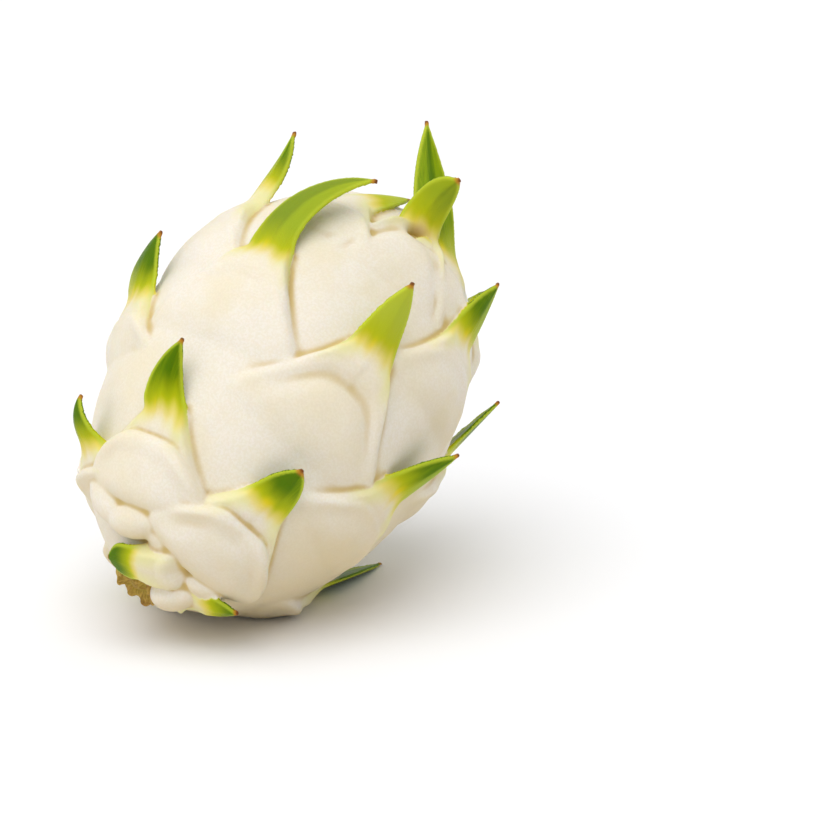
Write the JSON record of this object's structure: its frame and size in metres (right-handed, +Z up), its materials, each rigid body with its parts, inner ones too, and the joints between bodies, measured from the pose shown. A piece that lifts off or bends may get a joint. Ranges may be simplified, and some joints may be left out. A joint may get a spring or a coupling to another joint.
{
  "type": "dragon fruit",
  "caption": "Whole dragon fruit with cream skin and pointed green-tipped scales, lying on its side and resting on a small flat spot.",
  "frame": {"origin": "on the floor, under the centre of the fruit's bounding box", "axes": "+Z up; the fruit's axis rises from the stem end at -X to the blossom end at +X, 38 degrees above the floor; the side at -Y faces the viewer"},
  "size_m": [0.129, 0.0972, 0.113],
  "materials": {
    "skin": "satin cream-white fruit skin",
    "scale_tips": "satin leaf green, yellow at the root and red-brown at the point",
    "stem_wood": "dry torn brown fibre"
  },
  "bodies": {
    "root": {"fruit": "skin", "stem_stub": "stem_wood"}
  },
  "joints": []
}
